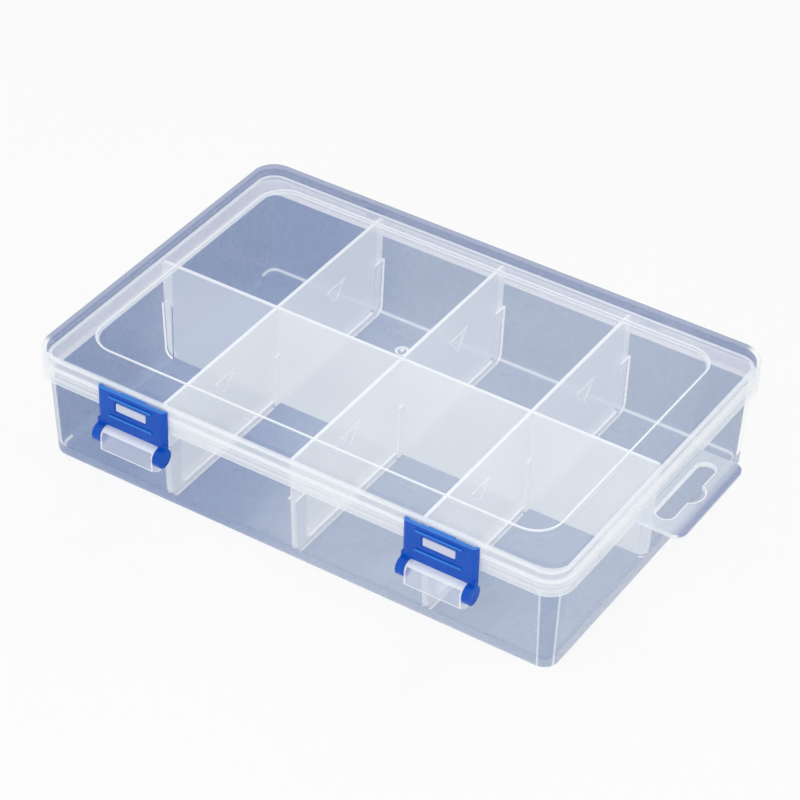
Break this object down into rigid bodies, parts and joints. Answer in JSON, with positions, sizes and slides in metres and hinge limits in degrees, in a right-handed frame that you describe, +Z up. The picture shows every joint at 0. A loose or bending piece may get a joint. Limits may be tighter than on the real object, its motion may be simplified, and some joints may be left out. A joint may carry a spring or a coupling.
{
  "type": "divided storage case",
  "caption": "Flat clear storage case with a hinged lid, swing clasps, a slotted hang tab and lift-out dividers that part it into small compartments for beads.",
  "frame": {"origin": "middle of the tray's flat underside", "axes": "+X along the long front side towards the hang tab, -Y the clasp side, +Z up through the lid"},
  "size_m": [0.216, 0.1451, 0.045],
  "materials": {
    "clear_plastic": "clear moulded polypropylene with a faint blue-grey tint, glossy",
    "milky_plastic": "milky translucent polypropylene, satin gloss",
    "clasp_plastic": "solid blue polypropylene, glossy"
  },
  "bodies": {
    "tray_body": {"tray": "clear_plastic", "long_divider": "milky_plastic", "divider_back_left": "milky_plastic", "divider_back_middle": "milky_plastic", "divider_back_right": "milky_plastic", "divider_front_left": "milky_plastic", "divider_front_middle": "milky_plastic", "divider_front_right": "milky_plastic"},
    "lid_body": {"lid": "clear_plastic"},
    "clasp_left_body": {"clasp_left": "clasp_plastic"},
    "clasp_right_body": {"clasp_right": "clasp_plastic"}
  },
  "joints": [
    {"name": "lid_hinge", "type": "hinge", "parent": "tray_body", "child": "lid_body", "pos_m": [0, 0.07005, 0.0366], "axis": [-1, 0, 0], "range_deg": [0, 180]},
    {"name": "clasp_left_hinge", "type": "hinge", "parent": "tray_body", "child": "clasp_left_body", "pos_m": [-0.0583, -0.06955, 0.0245], "axis": [1, 0, 0], "range_deg": [0, 120]},
    {"name": "clasp_right_hinge", "type": "hinge", "parent": "tray_body", "child": "clasp_right_body", "pos_m": [0.0583, -0.06955, 0.0245], "axis": [1, 0, 0], "range_deg": [0, 120]}
  ]
}
